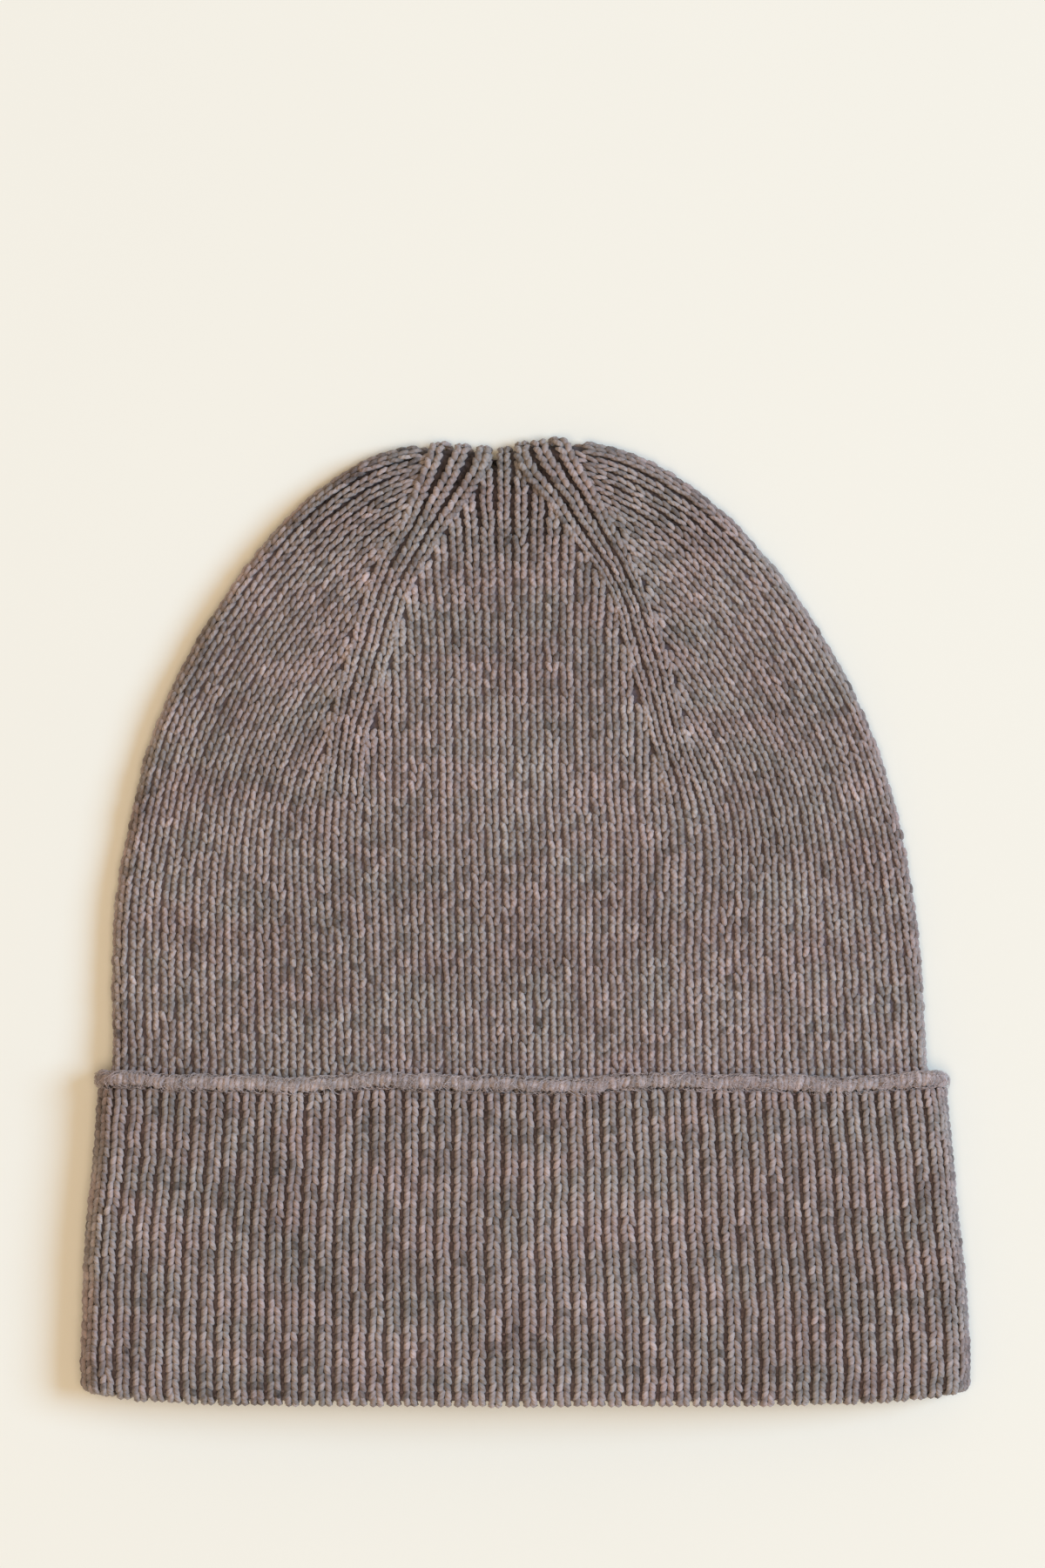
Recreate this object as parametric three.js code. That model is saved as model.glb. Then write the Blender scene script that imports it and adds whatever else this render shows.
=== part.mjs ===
// A knitted beanie lying flat on its back, with the ribbed cuff turned up round its mouth.
// Millimetres. It rests on z = 0, the crown points along +Y and the mouth opens along -Y.
// Heights in the tables are measured along +Y from the fold of the cuff.
import * as THREE from "three";

// Driving sizes
const hatLength = 229;
const crownWall = 2;
const domePower = 2.2; // how evenly the upper face rises from the rolled sides to the middle

const cuff = {
  outerHeight: 74.6, // of the turned-up layer, below its cast-on edge
  innerHeight: 59.7, // of the layer under it, where the crown carries on
  outerLayer: 2.4,
  innerLayer: 2,
  layerGap: 0.3,
  thick: 20, // at the middle of the hat
  roll: 5.2, // radius of the rolled sides
  ribs: 108, // all the way round
  ribDepth: 0.9,
  firstRib: 0.4, // in ribs, how far the first rib lies round from the left side
  cornerRise: 2.8, // how far the fold lifts at the two lower corners
  cornerReach: 13,
  cornerFade: 16, // the height by which that lift is gone
  foldInside: 2.7, // height of the cloth's inner side at the fold
  halfWay: 30,
};
const castOn = { height: 76.3, halfHeight: 1.35, halfDepth: 1.15, sides: 6, scallop: 0.25 };
const edgeWave = { size: 0.5, halfLength: 33, middle: -28 }; // the slow wave of the turned-up edge

// The cuff's left and right outline, going up from the fold
const cuffOutline = [
  { height: 0, left: -105.5, right: 105.2 },
  { height: 9, left: -105.8, right: 105.6 },
  { height: 22, left: -105.4, right: 105 },
  { height: 32, left: -105.1, right: 104.2 },
  { height: 42, left: -104.5, right: 102.9 },
  { height: 57, left: -102.9, right: 101.7 },
  { height: 73, left: -101.7, right: 100 },
  { height: 78, left: -101.3, right: 99.4 },
];

// The crown's outline, from inside the cuff up over the two humps to the gathered tip
const crownOutline = [
  { leftX: -99.2, leftHeight: 60, rightX: 97, rightHeight: 60 },
  { leftX: -98.2, leftHeight: 78, rightX: 95.5, rightHeight: 78 },
  { leftX: -98.3, leftHeight: 106, rightX: 93.8, rightHeight: 106 },
  { leftX: -97.3, leftHeight: 122, rightX: 91.9, rightHeight: 122 },
  { leftX: -94.8, leftHeight: 135, rightX: 89.4, rightHeight: 135 },
  { leftX: -88.4, leftHeight: 160, rightX: 82, rightHeight: 160 },
  { leftX: -76.2, leftHeight: 184.5, rightX: 69.1, rightHeight: 184.5 },
  { leftX: -64.8, leftHeight: 201, rightX: 57.1, rightHeight: 201 },
  { leftX: -48.4, leftHeight: 217.6, rightX: 39.5, rightHeight: 217.6 },
  { leftX: -36, leftHeight: 225, rightX: 25, rightHeight: 225.6 },
  { leftX: -23, leftHeight: 227.8, rightX: 8, rightHeight: 229 },
  { leftX: -7, leftHeight: 227, rightX: -7, rightHeight: 227 },
];

// How the crown lies, by the height of its middle: its underside, its thickness and the roll of its sides
const crownBody = [
  { middle: 60, base: 2.7, thick: 14.6, roll: 2.4 },
  { middle: 79, base: 2.7, thick: 14.6, roll: 2.5 },
  { middle: 92, base: 0.9, thick: 15.6, roll: 3 },
  { middle: 106, base: 0, thick: 15.8, roll: 3.3 },
  { middle: 140, base: 0, thick: 15.4, roll: 3.3 },
  { middle: 170, base: 0, thick: 13.8, roll: 3.3 },
  { middle: 195, base: 0, thick: 11.6, roll: 3.3 },
  { middle: 212, base: 0, thick: 9.6, roll: 3.3 },
  { middle: 223, base: 0, thick: 7.6, roll: 3 },
];
const ringHeights = [60, 79, 86, 94, 106, 120, 135, 150, 164, 177, 189, 199, 207, 213.5, 218.5, 222.5];
const bendFrom = 108; // above this the courses of the crown curve up towards its sides
const tip = { x: -7, height: 226.6, lift: 3.2 };

// The four lines where wales are narrowed, read across the front.
// A band of three wales lies between each outer and inner line.
const narrowing = [
  { height: 140, leftOuter: -49.5, leftInner: -38.5, rightInner: 33.3, rightOuter: 44.7 },
  { height: 157, leftOuter: -47.2, leftInner: -37.4, rightInner: 29.5, rightOuter: 39 },
  { height: 168, leftOuter: -45.3, leftInner: -34.2, rightInner: 26.7, rightOuter: 36.2 },
  { height: 180, leftOuter: -42, leftInner: -30.8, rightInner: 23.1, rightOuter: 33.1 },
  { height: 191, leftOuter: -39.1, leftInner: -27.5, rightInner: 20.3, rightOuter: 29.2 },
  { height: 203, leftOuter: -34, leftInner: -21.2, rightInner: 12.4, rightOuter: 24 },
  { height: 213, leftOuter: -28.8, leftInner: -14.2, rightInner: 5.3, rightOuter: 19 },
  { height: 224, leftOuter: -24.8, leftInner: -8, rightInner: -3, rightOuter: 13.1 },
];
const grooves = {
  from: 138,
  fullBy: 158,
  depth: 0.6,
  tipFrom: 195,
  tipBy: 218.6,
  tipDepth: 0.9,
  fadeFrom: 212,
  fadeBy: 219,
};
const backRelief = 0.5; // the share of that relief on the flattened back
const gathers = { from: 190, fullBy: 220.6, depth: 1.1, wales: 4, steepest: 0.5 };

// Steps of the crown's mesh across one face: the rolled side, side panel, narrowed band and middle panel
const steps = { roll: 3, side: 10, band: 3, middle: 22 };
const leastShare = { side: 0.1, pastRoll: 0.03 }; // of the width, that is kept beside the outer lines
const evenColumns = { from: 205, fullBy: 218.5 }; // by the tip the columns spread evenly
const lineSlack = 0.02; // a line that is moved by this share of the width to keep them has no groove left
const crownInside = { steps: 40, upTo: 214, tipDrop: 9, tipRise: 1 };

// Reads one column of a table whose rows rise with the column named along.
function read(table, along, at, column) {
  const above = table.findIndex((row) => row[along] >= at);
  if (above === 0) return table[0][column];
  if (above < 0) return table[table.length - 1][column];
  const low = table[above - 1];
  const high = table[above];
  const share = (at - low[along]) / (high[along] - low[along]);
  return THREE.MathUtils.lerp(low[column], high[column], share);
}

// The section of the flattened tube: a flat underside, rolled sides and a low domed top.
// It starts at the left side and goes over the top to the right side, then back underneath.
class Section extends THREE.Curve {
  constructor({ left, right, base, thick, roll }) {
    super();
    Object.assign(this, { left, base, thick, roll, width: right - left });
    this.arcLengthDivisions = 600;
  }

  // The curve's own parameter over a place on the top, from 0 at the left side to 1 at the right
  static over(across) {
    return Math.acos(1 - 2 * across) / (2 * Math.PI);
  }

  getPoint(t, target = new THREE.Vector2()) {
    const across = (1 - Math.cos(2 * Math.PI * t)) / 2;
    const fromSide = this.width * Math.min(across, 1 - across);
    const inRoll = this.roll - Math.min(fromSide, this.roll);
    const rolled = Math.sqrt(this.roll ** 2 - inRoll ** 2);
    const inner = 1 - Math.min(1, (2 * fromSide) / this.width);
    const dome = (this.thick - 2 * this.roll) * (1 - inner ** domePower);
    const rise = t < 0.5 ? rolled + dome : -rolled;
    return target.set(this.left + this.width * across, this.base + this.roll + rise);
  }
}

// Triangles between two rings that run the same way round, whatever their counts.
function bridge(faces, a, b) {
  let i = 0;
  let j = 0;
  while (i < a.count || j < b.count) {
    const nextA = a.first + ((i + 1) % a.count);
    const nextB = b.first + ((j + 1) % b.count);
    const atA = a.first + (i % a.count);
    const atB = b.first + (j % b.count);
    if (j >= b.count || (i < a.count && (i + 1) / a.count <= (j + 1) / b.count)) {
      faces.push(atA, nextA, atB);
      i += 1;
    } else {
      faces.push(atA, nextB, atB);
      j += 1;
    }
  }
}

// A closed surface through a row of rings. A ring of one point closes an end of it.
// With no such ends, the last ring meets the first.
function skin(rings) {
  const points = [];
  const placed = rings.map((ring) => {
    const first = points.length;
    points.push(...ring);
    return { first, count: ring.length };
  });
  const faces = [];
  const hasEnds = rings[0].length === 1;
  if (!hasEnds) placed.push(placed[0]);
  for (let k = 1; k < placed.length; k += 1) {
    const a = placed[k - 1];
    const b = placed[k];
    if (a.count > 1 && b.count > 1) {
      bridge(faces, a, b);
    } else {
      const ring = a.count > 1 ? a : b;
      const end = a.count > 1 ? b.first : a.first;
      for (let i = 0; i < ring.count; i += 1) {
        const at = ring.first + i;
        const next = ring.first + ((i + 1) % ring.count);
        faces.push(...(a.count > 1 ? [at, next, end] : [next, at, end]));
      }
    }
  }
  const geometry = new THREE.BufferGeometry().setFromPoints(points);
  geometry.setIndex(faces);
  geometry.translate(0, -hatLength / 2, 0);
  geometry.computeVertexNormals();
  return geometry;
}

// The cuff

function cuffSection(height) {
  return new Section({
    left: read(cuffOutline, "height", height, "left"),
    right: read(cuffOutline, "height", height, "right"),
    base: 0,
    thick: cuff.thick,
    roll: cuff.roll,
  });
}

// How far the cuff's rows leave their even height, at a place across the hat.
function cuffLift(shape, x, height) {
  const fromSide = Math.min(x - shape.left, shape.left + shape.width - x);
  const corner = cuff.cornerRise * Math.exp(-Math.max(0, fromSide) / cuff.cornerReach);
  const nearFold = Math.max(0, 1 - height / cuff.cornerFade);
  const wave = edgeWave.size * Math.cos((Math.PI * (x - edgeWave.middle)) / edgeWave.halfLength);
  return corner * nearFold + wave * (height / cuff.outerHeight) ** 3;
}

// One ring of the cuff, at a depth under its outer face. lean turns the ribs' depth from inward to upward.
function cuffRing({ depth, height, lean = 0, ribbed = false }) {
  const shape = cuffSection(height);
  const count = ribbed ? 2 * cuff.ribs : cuff.ribs;
  return Array.from({ length: count }, (_, i) => {
    const groove = ribbed && i % 2 ? cuff.ribDepth : 0;
    const inward = depth + groove * Math.cos(lean);
    const round = (i / count + cuff.firstRib / cuff.ribs) % 1;
    const place = shape.getPointAt(round);
    const along = shape.getTangentAt(round);
    const x = place.x + along.y * inward;
    const up = height + groove * Math.sin(lean) + cuffLift(shape, place.x, height);
    return new THREE.Vector3(x, up, place.y - along.x * inward);
  });
}

// Down between the two layers, up to the inner layer's end, down inside the hat,
// and round the fold up the ribs
function cuffGeometry() {
  const inside = cuff.outerLayer + cuff.layerGap;
  const through = inside + cuff.innerLayer;
  const radius = through / 2;
  const cornerCut = 0.7;
  const edgeTaper = 0.25;
  const faceHeights = [18, 38, 57];
  const fold = [0.5, 0.25, 0].map((turn) => ({
    depth: radius * (1 - Math.cos(Math.PI * turn)),
    height: radius * (1 - Math.sin(Math.PI * turn)),
    lean: Math.PI * turn,
    ribbed: true,
  }));
  return skin(
    [
      { depth: cuff.outerLayer, height: cuff.outerHeight },
      { depth: cuff.outerLayer, height: cuff.halfWay },
      { depth: cuff.outerLayer, height: cuff.foldInside },
      { depth: inside, height: cuff.foldInside },
      { depth: inside, height: cuff.halfWay },
      { depth: inside, height: cuff.innerHeight },
      { depth: through, height: cuff.innerHeight },
      { depth: through, height: cuff.halfWay },
      { depth: through, height: cuff.foldInside },
      { depth: through - cornerCut, height: cornerCut },
      ...fold,
      ...faceHeights.map((height) => ({ depth: 0, height, ribbed: true })),
      { depth: edgeTaper, height: cuff.outerHeight, ribbed: true },
    ].map(cuffRing),
  );
}

// The rolled cast-on edge, scalloped by the ribs under it
function castOnGeometry() {
  const turns = Array.from({ length: castOn.sides }, (_, k) => (2 * Math.PI * k) / castOn.sides);
  return skin(
    turns.map((turn) => {
      const depth = cuff.outerLayer - castOn.halfDepth + castOn.halfDepth * Math.sin(turn);
      const ring = cuffRing({ depth, height: castOn.height });
      ring.forEach((point, i) => {
        const scallop = 1 + castOn.scallop * Math.max(0, Math.cos(turn)) * (i % 2 ? 1 : 0);
        point.y += castOn.halfHeight * Math.cos(turn) * scallop;
      });
      return ring;
    }),
  );
}

// The crown

function outlineCurve(xColumn, heightColumn) {
  const points = crownOutline.map((row) => new THREE.Vector3(row[xColumn], row[heightColumn], 0));
  const curve = new THREE.CatmullRomCurve3(points, false, "centripetal");
  curve.arcLengthDivisions = 600;
  return curve;
}
const leftOutline = outlineCurve("leftX", "leftHeight");
const rightOutline = outlineCurve("rightX", "rightHeight");

// The place on a side of the outline where the ring of a middle height ends.
// Below the bend the ring is level.
function sideOf(outline, middle) {
  const whole = outline.getLength();
  const lowest = crownOutline[0].leftHeight;
  const straight = bendFrom - lowest;
  if (middle <= bendFrom) return outline.getPointAt((middle - lowest) / whole);
  const bent = (middle - bendFrom) / (tip.height - bendFrom);
  return outline.getPointAt((straight + bent * (whole - straight)) / whole);
}

// Where the ring's columns stand across the hat, from 0 at the left to 1 at the right,
// and how strongly each is grooved as a narrowing line
function columnsOf(middle, left, right, roll) {
  const width = right.x - left.x;
  const rollShare = roll / width;
  const bend = (left.y + right.y) / 2 - middle;
  const lineAt = (column) => {
    let across = 0.5;
    for (let i = 0; i < 3; i += 1) {
      const height = middle + bend * (2 * across - 1) ** 2;
      across = (read(narrowing, "height", height, column) - left.x) / width;
    }
    return across;
  };
  const lines = ["leftOuter", "leftInner", "rightInner", "rightOuter"].map(lineAt);
  const counts = [steps.side, steps.band, steps.middle, steps.band, steps.side];
  const all = counts.reduce((sum, count) => sum + count);
  const evenness = THREE.MathUtils.smoothstep(middle, evenColumns.from, evenColumns.fullBy);
  const least = Math.max(leastShare.side, rollShare + leastShare.pastRoll);
  const gap = (1 - 2 * least) / (lines.length + 1);
  let passed = 0;
  const kept = lines.map((line, k) => {
    const low = least + k * gap;
    const high = 1 - least - (lines.length - 1 - k) * gap;
    passed += counts[k];
    const even = THREE.MathUtils.lerp(rollShare, 1 - rollShare, passed / all);
    return THREE.MathUtils.lerp(THREE.MathUtils.clamp(line, low, high), even, evenness);
  });
  const strengths = kept.map((at, k) => Math.max(0, 1 - Math.abs(at - lines[k]) / lineSlack));
  const stops = [rollShare, ...kept, 1 - rollShare];
  const columns = [{ across: 0, line: 0 }];
  for (let i = 1; i < steps.roll; i += 1) {
    columns.push({ across: rollShare * (1 - Math.cos((Math.PI * i) / (2 * steps.roll))), line: 0 });
  }
  counts.forEach((count, k) => {
    for (let i = 0; i < count; i += 1) {
      const across = THREE.MathUtils.lerp(stops[k], stops[k + 1], i / count);
      columns.push({ across, line: k > 0 && i === 0 ? strengths[k - 1] : 0 });
    }
  });
  for (let i = steps.roll; i >= 0; i -= 1) {
    columns.push({ across: 1 - rollShare * (1 - Math.cos((Math.PI * i) / (2 * steps.roll))), line: 0 });
  }
  return columns;
}

// How deep the surface lies in the grooves of the narrowing lines and the gathers by the tip.
// spacing is the distance from column to column, as a pleat is no steeper than the cloth allows.
function relief(column, index, middle, spacing) {
  const { smoothstep } = THREE.MathUtils;
  const onLine = smoothstep(middle, grooves.from, grooves.fullBy) * grooves.depth;
  const nearTip = smoothstep(middle, grooves.tipFrom, grooves.tipBy) * grooves.tipDepth;
  const fade = 1 - smoothstep(middle, grooves.fadeFrom, grooves.fadeBy);
  const deepest = Math.min(gathers.depth, gathers.steepest * gathers.wales * spacing);
  const pleat = smoothstep(middle, gathers.from, gathers.fullBy) * deepest;
  const gathered = (pleat * (1 - Math.cos((2 * Math.PI * index) / gathers.wales))) / 2;
  return Math.max(column.line * (onLine + nearTip) * fade, gathered);
}

// A ring of the crown's outer face: over the top with its relief, then back underneath.
function crownRing(middle) {
  const left = sideOf(leftOutline, middle);
  const right = sideOf(rightOutline, middle);
  const lie = (column) => read(crownBody, "middle", middle, column);
  const shape = new Section({
    left: left.x,
    right: right.x,
    base: lie("base"),
    thick: lie("thick"),
    roll: lie("roll"),
  });
  const columns = columnsOf(middle, left, right, lie("roll"));
  const last = columns.length - 1;
  const place = (across, t, sunk) => {
    const flat = shape.getPoint(t);
    const level = THREE.MathUtils.lerp(left.y, right.y, across);
    const bend = (left.y + right.y) / 2 - middle;
    const height = level - bend * (1 - (2 * across - 1) ** 2);
    return new THREE.Vector3(flat.x, height, flat.y - sunk);
  };
  const depths = columns.map((column, i) => {
    const before = columns[Math.max(0, i - 1)].across;
    const after = columns[Math.min(last, i + 1)].across;
    return relief(column, i, middle, ((after - before) / 2) * shape.width);
  });
  const front = columns.map(({ across }, i) => place(across, Section.over(across), depths[i]));
  const back = columns.map(({ across }, i) => {
    return place(across, 1 - Section.over(across), -backRelief * depths[i]);
  });
  return [...front, ...back.slice(1, last).reverse()];
}

// A ring of the crown's inner face, one wall inside the outer one, with fewer columns.
function crownInnerRing(middle) {
  const left = sideOf(leftOutline, middle);
  const right = sideOf(rightOutline, middle);
  const lie = (column) => read(crownBody, "middle", middle, column);
  const shape = new Section({
    left: left.x + crownWall,
    right: right.x - crownWall,
    base: lie("base") + crownWall,
    thick: lie("thick") - 2 * crownWall,
    roll: lie("roll") - crownWall,
  });
  return Array.from({ length: crownInside.steps }, (_, i) => {
    const flat = shape.getPointAt(i / crownInside.steps);
    const across = (flat.x - shape.left) / shape.width;
    const bend = (left.y + right.y) / 2 - middle;
    const height = THREE.MathUtils.lerp(left.y, right.y, across) - bend * (1 - (2 * across - 1) ** 2);
    return new THREE.Vector3(flat.x, height, flat.y);
  });
}

function crownGeometry() {
  const outer = ringHeights.map(crownRing);
  const innerHeights = ringHeights.filter((height, i) => i % 2 === 0 && height < crownInside.upTo);
  const inner = innerHeights.map(crownInnerRing);
  const outerTip = new THREE.Vector3(tip.x, tip.height, tip.lift);
  const innerTip = new THREE.Vector3(tip.x, tip.height - crownInside.tipDrop, tip.lift + crownInside.tipRise);
  return skin([[innerTip], ...inner.reverse(), ...outer, [outerTip]]);
}

// The finished hat

function cloth(color) {
  return new THREE.MeshStandardMaterial({ color, roughness: 0.95, metalness: 0 });
}

function piece(name, geometry, material) {
  const mesh = new THREE.Mesh(geometry, material);
  mesh.name = name;
  return mesh;
}

const beanie = new THREE.Group();
beanie.add(piece("crown", crownGeometry(), cloth(0x776d6b)));
beanie.add(piece("cuff", cuffGeometry(), cloth(0x817775)));
beanie.add(piece("cuff_edge", castOnGeometry(), cloth(0x988c89)));

export default beanie;
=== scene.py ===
import math

import bpy
import numpy as np
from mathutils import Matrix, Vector


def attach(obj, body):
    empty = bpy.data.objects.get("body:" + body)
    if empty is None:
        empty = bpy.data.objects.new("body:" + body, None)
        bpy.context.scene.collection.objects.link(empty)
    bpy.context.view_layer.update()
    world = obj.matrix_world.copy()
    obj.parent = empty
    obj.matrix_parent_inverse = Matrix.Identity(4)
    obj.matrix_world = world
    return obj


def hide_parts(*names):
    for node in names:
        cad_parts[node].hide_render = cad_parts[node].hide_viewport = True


# A knitted beanie that lies flat on its back, with its ribbed cuff turned up round the mouth.
# Every stitch of the outer face is modelled as two strands of yarn that meet in a V.
# Lengths are in millimetres until a mesh is made. Heights run up the hat from the fold of the cuff.

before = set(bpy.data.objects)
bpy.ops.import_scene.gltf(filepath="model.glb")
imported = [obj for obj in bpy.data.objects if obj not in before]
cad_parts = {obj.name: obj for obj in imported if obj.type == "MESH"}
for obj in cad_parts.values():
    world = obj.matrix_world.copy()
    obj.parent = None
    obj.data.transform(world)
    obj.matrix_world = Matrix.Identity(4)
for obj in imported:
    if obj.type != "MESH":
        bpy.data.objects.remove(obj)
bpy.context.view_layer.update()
scene = bpy.context.scene
draws = np.random.default_rng(41)

hat = {
    "rowOrigin": 114.5,  # the height that lies at y = 0 in the frame
    "cuffTop": 76.8,  # height of the first row of the crown that shows
    "gather": (-6.0, 209.0),  # where the crown's last stitches are drawn together, on the back
}

crown = {
    "roll": 3.3,  # radius of the roll along its sides
    "domeReach": 96.0,  # how far in from the outline the front goes on rising
    "domePower": 2.2,
    "puckerDepth": 2.0,  # of the small hollow at the gather
    "puckerReach": 5.5,
    "lineTop": 200,  # above this height a narrowing line has one place for each x
    "outlineTop": 210,  # and so has the outline above this one
    "lowPitch": 2.17,  # of the rows along the outline low down
    "bendRows": (26.0, 46.0),  # the rows over which the pitch grows to what the top needs
}

# The crown's outline going up from inside the cuff: left x and height, right x and height
crownOutline = [
    (-99.2, 60, 97, 60),
    (-98.2, 78, 95.5, 78),
    (-98.3, 106, 93.8, 106),
    (-97.3, 122, 91.9, 122),
    (-94.8, 135, 89.4, 135),
    (-88.4, 160, 82, 160),
    (-76.2, 184.5, 69.1, 184.5),
    (-64.8, 201, 57.1, 201),
    (-48.4, 217.6, 39.5, 217.6),
    (-36, 225, 25, 225.6),
    (-23, 227.8, 8, 229),
    (-7, 227, -7, 227),
]

# How the crown lies by height: its underside, its thickness at the middle and the roll of its sides
crownBody = np.array([
    (60, 2.7, 14.6, 2.4),
    (79, 2.7, 14.6, 2.5),
    (92, 0.9, 15.6, 3.0),
    (106, 0, 15.8, 3.3),
    (230, 0, 15.8, 3.3),
])

# The four lines along which wales are narrowed away, as x and height on the front.
# Their last point lies beyond the top edge: the front's wales run on over it to the gather.
frontLines = {
    "leftOuter": [
        (-48.2, 70.8), (-48.8, 105), (-49.5, 139.9), (-48, 151.3), (-45.3, 167.9), (-42.2, 179.3),
        (-37.3, 195.8), (-33.9, 203.1), (-30.2, 209.3), (-27.3, 217.1), (-25.3, 222.7), (-23.6, 227.3),
        (-6, 248.5),
    ],
    "leftInner": [
        (-37.2, 70.8), (-37.8, 105), (-38.5, 139.9), (-37.5, 156.3), (-34.2, 168.1), (-28.4, 188.6),
        (-26.1, 194.4), (-23.6, 198.9), (-20.9, 203.5), (-18, 208.2), (-13, 214.5), (-9.9, 219),
        (-8.1, 222.7), (-7.7, 228), (-6.6, 248.5),
    ],
    "rightInner": [
        (34.6, 70.8), (34, 105), (33.3, 142), (26.7, 167.9), (23, 180.7), (21.3, 188.4), (18.2, 195.2),
        (15.9, 198.9), (12.4, 203), (8.5, 208.2), (5, 213.4), (1.2, 217.6), (-1.4, 220.7), (-2.9, 223.4),
        (-3.1, 228), (-5.4, 248.5),
    ],
    "rightOuter": [
        (46, 70.8), (45.4, 105), (44.7, 142), (38.9, 157.5), (36.2, 167.9), (33.7, 178.2), (29.8, 189),
        (26.7, 196.9), (23.2, 204.7), (20.5, 210.1), (16.8, 217.4), (13.2, 223.8), (11.6, 227.3),
        (-6, 248.5),
    ],
}
backLines = {
    "leftOuter": [
        (-48.2, 70.8), (-48.8, 105), (-49.5, 139.9), (-48, 151), (-44.5, 167), (-39.5, 179),
        (-32, 190), (-23.5, 198), (-14, 205), (-6, 209),
    ],
    "leftInner": [
        (-37.2, 70.8), (-37.8, 105), (-38.5, 139.9), (-37.2, 154), (-33, 167), (-26.5, 180),
        (-20, 190), (-13.5, 199), (-6, 209),
    ],
    "rightInner": [
        (34.6, 70.8), (34, 105), (33.3, 141), (27.5, 162), (21.5, 175), (14, 188), (6, 199), (-6, 209),
    ],
    "rightOuter": [
        (46, 70.8), (45.4, 105), (44.7, 141), (39.5, 157), (33, 173), (25, 185), (16, 194),
        (6, 202.5), (-6, 209),
    ],
}

knit = {
    "firstRow": -3,  # a few rows go on under the cuff's edge
    "firstHeight": 70.8,
    "shapingRow": 32,  # the row where narrowing starts
    "rowHeight": 2.0,
    "middleWales": 20,
    "bandWales": 3,
    "sideWales": 13.5,  # from an outer line to the side, so 27 round each side
    "sideGrowth": 0.025,  # how much wider the side wales get
    "sideGrowthRows": (32, 57),
    "overlap": 3,  # how far at most a wale's last place lies past its line
    "middlePitch": 3.59,
    "middleGrowth": [(0.05, 180, 200), (0.12, 200, 222)],  # how much wider, from and to which height
    "middleHeights": (140, 200),
    "middleLine": (-2.6, -3.2),  # x of the middle at those heights
    "frontTop": 243,  # the front's middle wales go on over the edge as far as this
    "fewestRows": 5,  # a wale with fewer is left out
}


def smoothStep(value, low, high):
    share = np.clip((np.asarray(value, float) - low) / (high - low), 0, 1)
    return share * share * (3 - 2 * share)


def unit(vectors):
    return vectors / np.maximum(np.linalg.norm(vectors, axis=-1, keepdims=True), 1e-9)


# How far along a row of points each of them lies
def runsAlong(points):
    return np.r_[0, np.cumsum(np.linalg.norm(np.diff(points, axis=0), axis=1))]


# The points at given runs along a path, from its runs and its columns of x and height
def pointsAt(run, runs, columns):
    return np.stack([np.interp(run, runs, column) for column in columns], axis=-1)


# A curve between two points that leaves the first and comes to the second along given ways
def smoothCurve(t, start, finish, span, leaving, arriving):
    curve = (2 * t**3 - 3 * t**2 + 1) * start + (3 * t**2 - 2 * t**3) * finish
    return curve + span * ((t**3 - 2 * t**2 + t) * leaving + (t**3 - t**2) * arriving)


# A smooth line through a few points, stepped evenly along its length
class Line:
    def __init__(self, points, step=0.5):
        points = np.array(points, float)
        chord = runsAlong(points)
        slopes = np.gradient(points, chord, axis=0)
        fine = np.linspace(0, chord[-1], 60 * len(points))
        seat = np.clip(np.searchsorted(chord, fine, side="right") - 1, 0, len(chord) - 2)
        span = np.diff(chord)[seat][:, None]
        t = (fine - chord[seat])[:, None] / span
        line = smoothCurve(t, points[seat], points[seat + 1], span, slopes[seat], slopes[seat + 1])
        run = runsAlong(line)
        self.length = run[-1]
        self.runs = np.linspace(0, self.length, int(self.length / step) + 2)
        self.points = pointsAt(self.runs, run, line.T)

    def at(self, run):
        return pointsAt(run, self.runs, self.points.T)

    def heading(self, run, reach=1.0):
        low = np.clip(np.asarray(run) - reach, 0, self.length - 0.2)
        high = np.clip(np.asarray(run) + reach, 0.2, self.length)
        return unit(self.at(high) - self.at(low))

    def runAtHeight(self, height):
        return float(np.interp(height, self.points[:, 1], self.runs))

    def xAtHeight(self, height):
        return np.interp(height, self.points[:, 1], self.points[:, 0])

    # Where the line comes to an x above a height. sign is 1 or -1, as x is sorted there.
    def runAtX(self, x, above, sign=1):
        upper = self.points[:, 1] > above
        order = np.argsort(self.points[upper, 0] * sign)
        return np.interp(x * sign, self.points[upper, 0][order] * sign, self.runs[upper][order])


outlines = {
    "left": Line([(row[0], row[1]) for row in crownOutline]),
    "right": Line([(row[2], row[3]) for row in crownOutline]),
}
edgePoints = np.concatenate([outlines["left"].points, outlines["right"].points[-2::-1]])
edgeOut = np.gradient(edgePoints, axis=0)
edgeOut = unit(np.stack([-edgeOut[:, 1], edgeOut[:, 0]], axis=1))


# Distance from the crown's outline, positive inside, with the nearest point of it and the way out
def fromOutline(spots):
    start, along = edgePoints[:-1], np.diff(edgePoints, axis=0)
    size = (along**2).sum(1)
    found = []
    for some in np.array_split(spots, max(1, len(spots) // 1500)):  # parts that fit in memory
        t = np.clip(((some[:, None] - start) * along).sum(2) / size, 0, 1)
        gap = some[:, None] - (start + t[..., None] * along)
        seat = (gap**2).sum(2).argmin(1)
        share = t[np.arange(len(some)), seat][:, None]
        near = start[seat] + share * along[seat]
        out = unit((1 - share) * edgeOut[seat] + share * edgeOut[seat + 1])
        inside = np.sign(-((some - near) * out).sum(1))
        found.append(np.c_[inside * np.linalg.norm(some - near, axis=1), near, out])
    found = np.concatenate(found)
    return found[:, 0], found[:, 1:3], found[:, 3:5]


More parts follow.
